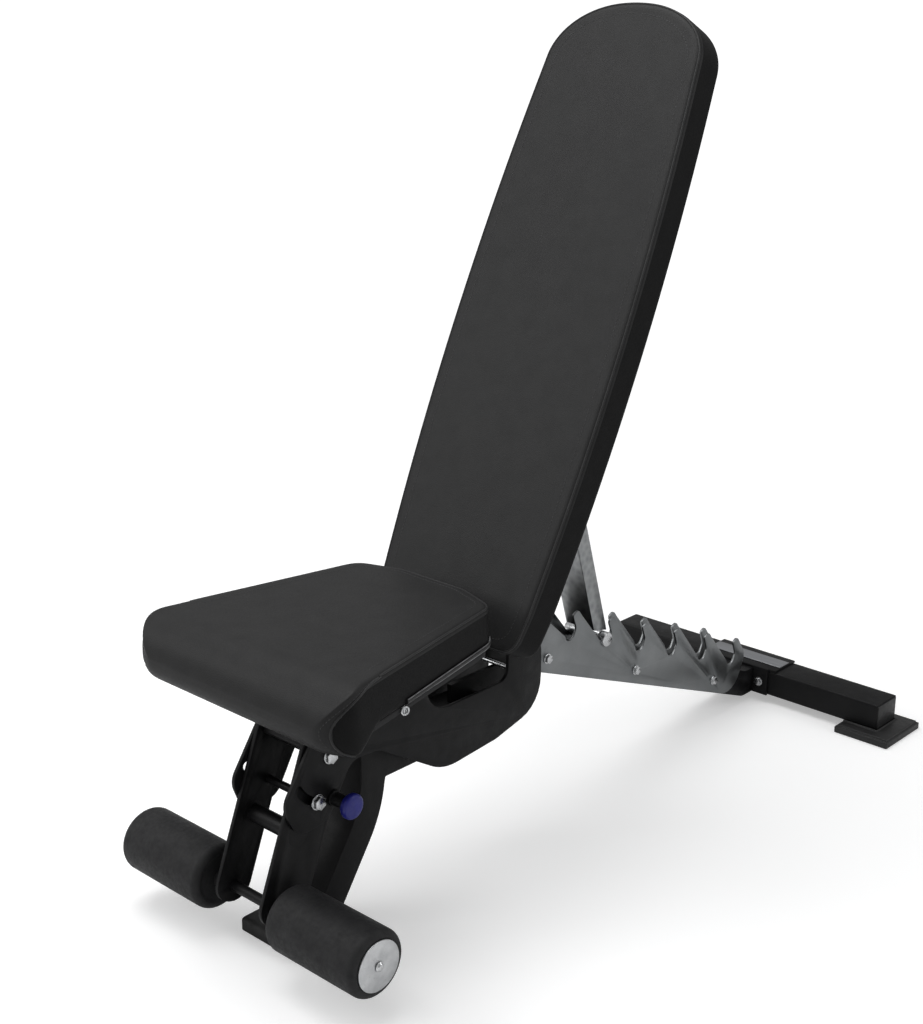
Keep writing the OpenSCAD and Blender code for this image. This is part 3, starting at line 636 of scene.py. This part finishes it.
def cord_round(name, points, radius, body, finish, slot, closed=False):
    """A round cord through these points, for a welt or a bead."""
    curve = bpy.data.curves.new(name, "CURVE")
    curve.dimensions = "3D"
    curve.bevel_depth = radius
    curve.bevel_resolution = 3
    curve.resolution_u = 2
    line = curve.splines.new("POLY")
    line.points.add(len(points) - 1)
    for point, co in zip(line.points, points):
        point.co = (*co, 1)
    line.use_cyclic_u = closed
    curve.use_fill_caps = not closed
    piece = bpy.data.objects.new(name, curve)
    scene.collection.objects.link(piece)
    pick_up(piece)
    bpy.ops.object.convert(target="MESH")
    piece = name_piece(name)
    smooth(piece, 60)
    return fit(piece, body, finish, slot)


def stitch_row(name, points, normals, body, closed=False):
    """Short raised stitches that follow a line on the surface."""
    pitch, length, width = 0.0058, 0.0036, 0.0009
    sides = 6
    tapers = ((-1, 0.35), (-0.6, 1), (0.6, 1), (1, 0.35))
    loop = points + points[:1] * closed
    lifts = normals + normals[:1] * closed
    verts = []
    faces = []
    travelled = 0.0
    next_at = pitch / 2
    for (p, q), (m, n) in zip(zip(loop, loop[1:]), zip(lifts, lifts[1:])):
        step = max((q - p).length, 1e-9)
        while next_at < travelled + step:
            share = (next_at - travelled) / step
            at = p.lerp(q, share)
            up = m.lerp(n, share).normalized()
            run = (q - p).normalized()
            side = up.cross(run).normalized()
            base = len(verts)
            for end, scale in tapers:
                for a in range(sides):
                    t = math.tau * a / sides
                    out = side * math.cos(t) * width * 0.5 * scale + up * math.sin(t) * width * 0.42 * scale
                    verts.append(at + run * end * length / 2 + out + up * width * 0.12)
            last = (len(tapers) - 1) * sides
            for start in range(base, base + last, sides):
                for a in range(sides):
                    b = (a + 1) % sides
                    faces.append((start + a, start + b, start + sides + b, start + sides + a))
            faces.append(tuple(base + a for a in reversed(range(sides))))
            faces.append(tuple(base + last + a for a in range(sides)))
            next_at += pitch
        travelled += step
    piece = mesh_piece(name, verts, faces)
    close_up(piece, 0.00001)
    smooth(piece, 60)
    return fit(piece, body, THREAD, "upholstery")


def surface_line(piece, cushion, row):
    """Where a row of the cushion lies after it has been blown up."""
    count = len(cushion.ring)
    verts = piece.data.vertices
    normals = piece.data.vertex_normals
    points = [verts[row * count + j].co.copy() for j in range(count)]
    lifts = [normals[row * count + j].vector.copy() for j in range(count)]
    return points, lifts


def sewn_pad(cushion, name, place, cap):
    """The blown-up cover of one pad, with the lines of its welt and its stitches."""
    cover = cushion.build(name, place)
    puff(cover, cushion, cap)
    welt = surface_line(cover, cushion, cushion.seam_row + 2)
    stitches = surface_line(cover, cushion, cushion.seam_row + 6)
    close_up(cover, 0.0004)
    use_modifier(cover, "SUBSURF", levels=1, render_levels=1)
    smooth(cover, 80)
    return cover, welt, stitches


# back pad: crowned top, bowed sides, rounded lower corners; sizes run up the back from its hinge
PAD_LOW, PAD_HIGH, PAD_CROWN, PAD_CORNER = -0.042, 0.978, 0.098, 0.030
PAD_W, PAD_END_W = 0.339, 0.298
BACK_REAR, BACK_FACE = 0.0362, 0.0970
SEAM_INSET = 0.0005
PAD_MID = (PAD_HIGH - PAD_CROWN + PAD_LOW) / 2


def pad_half(s):
    """Half the pad's width this far up: the sides bow."""
    reach = (s - PAD_MID) / (PAD_HIGH - PAD_CROWN - PAD_MID)
    return PAD_W / 2 - (PAD_W - PAD_END_W) / 2 * reach ** 2


def back_rim(inset):
    """The right half of the back pad's outline, from its lower edge to its crown."""
    corner = PAD_CORNER
    corner_steps, steps = 8, 24
    rim = [(0.0, PAD_LOW + inset)]
    wide = pad_half(PAD_LOW) - inset
    for i in range(corner_steps + 1):
        a = math.radians(-90 + 90 * i / corner_steps)
        rim.append((wide - corner + corner * math.cos(a), PAD_LOW + inset + corner + corner * math.sin(a)))
    for i in range(1, steps + 1):
        s = PAD_LOW + corner + (PAD_HIGH - PAD_CROWN - PAD_LOW - corner) * i / steps
        rim.append((pad_half(s) - inset, s))
    for i in range(1, steps + 1):
        a = math.radians(90 * i / steps)
        rim.append(((PAD_END_W / 2 - inset) * max(0.0, math.cos(a)) ** 0.92,
                    PAD_HIGH - PAD_CROWN + (PAD_CROWN - inset) * math.sin(a)))
    rim[-1] = (0.0, PAD_HIGH - inset)
    return rim


back_place = Matrix.Translation(HINGE) @ Matrix((
    (1, 0, 0, 0),
    (0, UP_BACK.y, OUT_FACE.y, 0),
    (0, UP_BACK.z, OUT_FACE.z, 0),
    (0, 0, 0, 1)))
back = Cushion(back_rim(SEAM_INSET), (0.09, 0.84), lambda s: (BACK_REAR, BACK_FACE), BACK_FACE, 0.010)
back_cover, (welt_line, _), (stitch_line, stitch_ways) = sewn_pad(back, "back_cover", back_place, 0.006)
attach(back_cover, "back")
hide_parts("back_pad")
cord_round("back_welt", welt_line, 0.0017, "back", WELT, "upholstery", closed=True)
stitch_row("back_stitches", stitch_line, stitch_ways, "back", closed=True)

# seat pad: wider at the front, where it rolls over
SEAT_REAR = MID_Y - 0.893
SEAT_FRONT = MID_Y - 1.298
SEAT_BACK_W, SEAT_FRONT_W, SEAT_LONG = 0.270, 0.440, 0.405
SEAT_TOP, SEAT_ROLL, SEAT_SOFT = 0.4745, 0.062, 0.009       # level, radius of the roll, radius of the edge
SEAT_BOTTOM, SEAT_LIP, SEAT_TUCK = 0.4075, 0.3790, 0.0335   # underside, lowest point of the lip, its radius
SEAT_FLANGE = 0.054                                         # how far back the lip reaches
SEAT_SEAM = SEAT_TOP - SEAT_SOFT * 0.3                      # level of the seam round the face
TAPER = math.atan((SEAT_FRONT_W - SEAT_BACK_W) / 2 / SEAT_LONG)


def seat_half(y, inset=0.0):
    """Half the seat's width at this y."""
    return SEAT_BACK_W / 2 + math.tan(TAPER) * (SEAT_REAR - y) - inset / math.cos(TAPER)


def arc_between(p, q, s, r, n=8):
    """Points that round the corner q between p and s, with radius r."""
    u = (p - q).normalized()
    v = (s - q).normalized()
    half = u.angle(v) / 2
    c = q + (u + v).normalized() * r / math.sin(half)
    a = q + u * r / math.tan(half) - c
    b = q + v * r / math.tan(half) - c
    start = math.atan2(a.y, a.x)
    turn = math.atan2(b.y, b.x) - start
    turn = (turn + math.pi) % math.tau - math.pi
    angles = [start + turn * i / n for i in range(n + 1)]
    return [c + r * Vector((math.cos(angle), math.sin(angle))) for angle in angles]


def seat_rim(inset):
    """The right half of the seat's outline, from the middle of its rear to the middle of its front."""
    rear = SEAT_REAR - inset
    front = SEAT_FRONT + inset
    set_back = 0.026
    a = Vector((0, rear))
    b = Vector((seat_half(rear - set_back, inset) * 0.45, rear))
    c = Vector((seat_half(rear - set_back, inset), rear - set_back))
    d = Vector((seat_half(front, inset), front))
    e = Vector((0, front))
    rim = [a]
    rim += arc_between(a, b, c, 0.060)
    rim += arc_between(b, c, d, 0.026)
    rim += arc_between(c, d, e, 0.043, 16)
    rim.append(e)
    return [(p.x, -p.y) for p in rim]


def seat_depth(v):
    """Underside and top of the seat at -y = v: the top rolls over and the lip hangs at the front."""
    ahead = -SEAT_FRONT - v
    drop = SEAT_ROLL - min(max(ahead, 0.0), SEAT_ROLL)
    top = SEAT_TOP - SEAT_ROLL + math.sqrt(max(SEAT_ROLL ** 2 - drop ** 2, 0.0))
    step = min(max((ahead - SEAT_FLANGE + 0.006) / 0.052, 0.0), 1.0)
    rise = (SEAT_BOTTOM - SEAT_LIP) * step * step * (3 - 2 * step)
    return SEAT_LIP + rise, top


def seat_roll_in(q, w):
    """The front tucks under in a round, as deep as the face rolls over."""
    ahead = -SEAT_FRONT - q.y
    below = min(max(SEAT_LIP + SEAT_TUCK - w, 0.0), SEAT_TUCK * 0.995)
    if ahead < SEAT_FLANGE and below > 0:
        turn_in = SEAT_TUCK - math.sqrt(SEAT_TUCK ** 2 - below ** 2)
        fade = 1 - max(ahead, 0.0) / SEAT_FLANGE
        return Vector((q.x, q.y - turn_in * fade))
    return q


class SeatPanels:
    """Where the seat's side panels end: each is rounded like a D at the front."""
    start, nose, drop = 0.100, 0.0115, 0.054
    tuck_back, tuck_down = 0.036, 0.040

    @classmethod
    def front(cls, z):
        """How far behind the seat's front edge the side panel starts at this height."""
        fall = max(SEAT_SEAM - z, 0.0)
        if fall < cls.drop:
            return cls.start - (cls.start - cls.nose) * math.sqrt(1 - (1 - fall / cls.drop) ** 2)
        under = min((fall - cls.drop) / cls.tuck_down, 1.0)
        return cls.nose + cls.tuck_back * (1 - math.sqrt(1 - under ** 2))


def on_rim(rim, ahead):
    """The outline's point on the +x side this far behind the front edge."""
    past_middle = 0.05
    for p, q in zip(rim, rim[1:]):
        a, b = -SEAT_FRONT - p[1], -SEAT_FRONT - q[1]
        if min(a, b) <= ahead <= max(a, b) and abs(a - b) > 1e-9 and p[0] > past_middle:
            t = (ahead - a) / (b - a)
            return Vector((p[0] + (q[0] - p[0]) * t, p[1] + (q[1] - p[1]) * t))
    raise ValueError("no rim at %.3f" % ahead)


def side_seam(rim, gap):
    """The D-shaped end of a side panel, from its top edge down and under, gap further out."""
    out = []
    steps, under_steps = 22, 12
    rise = gap * 0.3
    for i in range(steps + 1):
        a = math.pi / 2 * i / steps
        ahead = SeatPanels.start - (SeatPanels.start - SeatPanels.nose + gap) * math.sin(a)
        p = on_rim(rim, ahead)
        out.append(Vector((p.x, -p.y, SEAT_SEAM + rise - (SeatPanels.drop + rise) * (1 - math.cos(a)))))
    last = out[-1]
    for k in range(1, under_steps):
        a = math.pi / 2 * k / under_steps
        p = on_rim(rim, SeatPanels.nose - gap + SeatPanels.tuck_back * (1 - math.cos(a)))
        out.append(Vector((p.x, -p.y, last.z - SeatPanels.tuck_down * math.sin(a))))
    return out


def snap(piece, points, lift=0.0):
    """The same points this far off the piece's surface, and which way is out there."""
    made = []
    ways = []
    for p in points:
        _, co, normal, _ = piece.closest_point_on_mesh(p)
        made.append(co + normal * lift)
        ways.append(normal.copy())
    return made, ways


seat_place = Matrix(((1, 0, 0, 0), (0, -1, 0, 0), (0, 0, 1, 0), (0, 0, 0, 1)))
seat_outline = seat_rim(SEAM_INSET)
seat_core = (-SEAT_REAR + 0.085, -SEAT_FRONT - 0.11)
seat = Cushion(seat_outline, seat_core, seat_depth, SEAT_TOP, SEAT_SOFT, seat_roll_in)
seat_cover, (welt_row, _), (stitch_path, _) = sewn_pad(seat, "seat_cover", seat_place, 0.005)
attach(seat_cover, "seat")
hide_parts("seat_pad")

# the face's vinyl runs on over the front, up to the side panels and just under their welts, and on every
# face that points up; the faces low under the front lip wear the darker side vinyl, painted shade
UNDER_WELT, FLAT_TOP = 0.0015, 0.75
# painted shade: faces below the lip get the darker vinyl, faces that point up the lighter one
for face in seat_cover.data.polygons:
    ahead = face.center.y - SEAT_FRONT
    ends = min(SeatPanels.front(face.center.z) + UNDER_WELT, SeatPanels.start)
    if ahead < ends or face.normal.z > FLAT_TOP:
        face.material_index = 0 if face.center.z > SEAT_BOTTOM - 0.03 else 1


def seat_line(row, gap):
    """One D-shaped end, round the rear along a row, and the other D, as one open line."""
    behind = SeatPanels.start - 0.004
    corner = SEAT_REAR - 0.030
    keep = [p for p, at in zip(row, seat.ring) if -SEAT_FRONT - at.y > behind]
    dee = side_seam(seat_outline, gap)
    other = [Vector((-p.x, p.y, p.z)) for p in dee]
    ahead = sorted((p for p in keep if p.y < corner and abs(p.x) > 0.0005), key=lambda p: p.y)
    one_side = [p for p in ahead if p.x > 0]
    other_side = [p for p in ahead if p.x < 0]
    rear = sorted((p for p in keep if p.y >= corner), key=lambda p: -p.x)
    return dee[::-1] + one_side + rear + other_side[::-1] + other


welt_line, _ = snap(seat_cover, seat_line(welt_row, 0.0), 0.0002)
cord_round("seat_welt", welt_line, 0.0016, "seat", WELT, "upholstery")
stitch_line, stitch_ways = snap(seat_cover, seat_line(stitch_path, 0.008))
stitch_row("seat_stitches", stitch_line, stitch_ways, "seat")


def stud_ring(name, side):
    """A wire ring that lies round the head of a side stud."""
    low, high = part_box("seat_side_studs")
    put_down()
    bpy.ops.mesh.primitive_torus_add(
        major_radius=0.0056, minor_radius=0.0013, major_segments=40, minor_segments=10,
        location=(side * (high.x - 0.0006), (low.y + high.y) / 2, (low.z + high.z) / 2),
        rotation=(0, math.pi / 2, -side * TAPER))
    ring = settle(name_piece(name))
    smooth(ring, 60)
    fit(ring, "seat", ZINC, "zinc_plated")


def edge_trim(name, radius, lift, out, finish, slot):
    """A bead along each lower side of the seat, from the stud back and up round the rear corner.

    lift is its height over the seat's underside and out how far it stands off the cover.
    """
    low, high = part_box("seat_side_studs")
    start = (low.y + high.y) / 2 + 0.006
    end = SEAT_REAR - 0.034
    steps, turn_steps = 24, 8
    for side, which in ((1, "_left"), (-1, "_right")):
        points = []
        for i in range(steps + 1):
            t = i / steps
            y = start + (end - start) * t
            points.append(Vector((side * (seat_half(y) + out), y, SEAT_BOTTOM + lift + 0.004 * t)))
        last = points[-1]
        for i in range(1, turn_steps + 1):
            a = math.pi / 2 * i / turn_steps
            round_off = 1 - math.cos(a)
            points.append(last + Vector((-side * 0.004 * round_off, 0.010 * math.sin(a), 0.006 * round_off)))
        points, _ = snap(seat_cover, points, out)
        cord_round(name + which, points, radius, "seat", finish, slot)


stud_ring("stud_ring_left", 1)
stud_ring("stud_ring_right", -1)
edge_trim("seat_trim", 0.0034, 0.0045, 0.0006, PLASTIC, "black_plastic")
edge_trim("seat_trim_upper_bead", 0.0009, 0.0085, 0.0022, TRIM, "satin_steel")
edge_trim("seat_trim_lower_bead", 0.0009, 0.0008, 0.0022, TRIM, "satin_steel")


# ---------------------------------------------------------------- foam rollers
def foam_roller(name, node, body):
    """A foam sleeve with rolled ends and a sunk face round the disc."""
    low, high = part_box(node)
    centre = (low + high) / 2
    radius = (high.z - low.z) / 2
    length = high.x - low.x
    put_down()
    bpy.ops.mesh.primitive_cylinder_add(vertices=96, radius=radius - 0.0005, depth=length, location=centre,
                                        rotation=(0, math.pi / 2, 0), end_fill_type="NGON")
    piece = settle(name_piece(name))
    bpy.ops.object.mode_set(mode="EDIT")
    bpy.ops.mesh.select_mode(type="FACE")
    bpy.ops.mesh.select_all(action="DESELECT")
    bpy.ops.object.mode_set(mode="OBJECT")
    for face in piece.data.polygons:
        face.select = abs(face.normal.x) > 0.9      # the two ends
    bpy.ops.object.mode_set(mode="EDIT")
    for width, sink in ((0.0115, 0.0), (0.0022, -0.0012), (0.004, -0.0002)):
        bpy.ops.mesh.inset(thickness=width, depth=sink)
    bpy.ops.mesh.select_all(action="DESELECT")
    bpy.ops.object.mode_set(mode="OBJECT")
    bpy.context.tool_settings.mesh_select_mode = (False, True, False)
    for edge in piece.data.edges:
        a, b = (piece.data.vertices[i].co for i in edge.vertices)
        ends = abs(abs(a.x - centre.x) - length / 2) < 1e-5 and abs(a.x - b.x) < 1e-6
        outer = math.hypot(a.y - centre.y, a.z - centre.z) > radius - 0.001
        edge.select = ends and outer
    bpy.ops.object.mode_set(mode="EDIT")
    bpy.ops.mesh.bevel(offset=0.0105, segments=7, affect="EDGES", profile=0.5)
    bpy.ops.object.mode_set(mode="OBJECT")
    smooth(piece, 50)
    fit(piece, body, FOAM, "foam", node)


foam_roller("foam_sleeve_left", "roller_foam_left", "roller_left")
foam_roller("foam_sleeve_right", "roller_foam_right", "roller_right")


# ---------------------------------------------------------------- floor, light and camera
FLOOR_SIZE, FLOOR_DROP = 900, 0.0004
# painted glow: how strongly the floor emits light near and far from the bench, seen only by the camera
NEAR_GLOW, FAR_GLOW, GLOW_SPAN = 0.36, 0.80, (1.1, 5.5)     # the floor grows paler away from the bench
ROOM_LIGHT = 0.38
put_down()
bpy.ops.mesh.primitive_plane_add(size=FLOOR_SIZE, location=(0, 0, -FLOOR_DROP))
floor = name_piece("floor")
paper = Finish("floor paper", (0.86, 0.86, 0.865), 0.55)
paper.tint(paper.noise(0.6, 2), (0.855, 0.857, 0.86), (0.865, 0.866, 0.87))
paper.set(Emission_Color=(1, 1, 1, 1), Specular_IOR_Level=0.0)
# painted glow: camera rays alone see the floor emit light, weaker near the bench and stronger away from it
seen = paper.node("ShaderNodeLightPath").outputs["Is Camera Ray"]
reach = paper.node("ShaderNodeVectorMath", operation="LENGTH")
paper.link(paper.place, reach.inputs[0])
glow = paper.node("ShaderNodeMath", operation="MULTIPLY")
paper.link(seen, glow.inputs[0])
paper.link(paper.ramp(reach.outputs["Value"], NEAR_GLOW, FAR_GLOW, GLOW_SPAN), glow.inputs[1])
paper.link(glow.outputs[0], paper.shader.inputs["Emission Strength"])
dress(floor, paper.mat)

world = bpy.data.worlds.new("room")
scene.world = world
world.use_nodes = True
sky = world.node_tree.nodes["Background"]
sky.inputs["Color"].default_value = (1, 1, 1, 1)
sky.inputs["Strength"].default_value = ROOM_LIGHT


def softbox(name, place, target, size, power):
    """A rectangular lamp that points at its target."""
    data = bpy.data.lights.new(name, "AREA")
    data.shape = "RECTANGLE"
    data.size, data.size_y = size
    data.energy = power
    lamp = bpy.data.objects.new(name, data)
    lamp.location = place
    lamp.rotation_euler = (Vector(target) - Vector(place)).to_track_quat("-Z", "Y").to_euler()
    scene.collection.objects.link(lamp)


softbox("overhead box", (-0.6, -0.6, 3.4), (0, 0, 0.3), (2.6, 2.6), 66)
softbox("front box", (-2.2, -2.6, 2.2), (0, 0, 0.6), (1.8, 1.8), 30)
softbox("side strip", (2.6, 1.4, 1.8), (0, 0.1, 0.5), (0.8, 1.8), 12)

lens = bpy.data.cameras.new("camera")
lens.sensor_width = 36
lens.lens = 56.77
lens.clip_end = 1500
eye = bpy.data.objects.new("camera", lens)
turn, dip = math.radians(42.8617), math.radians(18.0505)
gaze = Vector((-math.sin(turn) * math.cos(dip), math.cos(turn) * math.cos(dip), -math.sin(dip)))
eye.location = (1.5798, MID_Y - 2.5343, 1.3207)
eye.rotation_euler = gaze.to_track_quat("-Z", "Y").to_euler()
scene.collection.objects.link(eye)
scene.camera = eye
scene.view_settings.view_transform = "Standard"
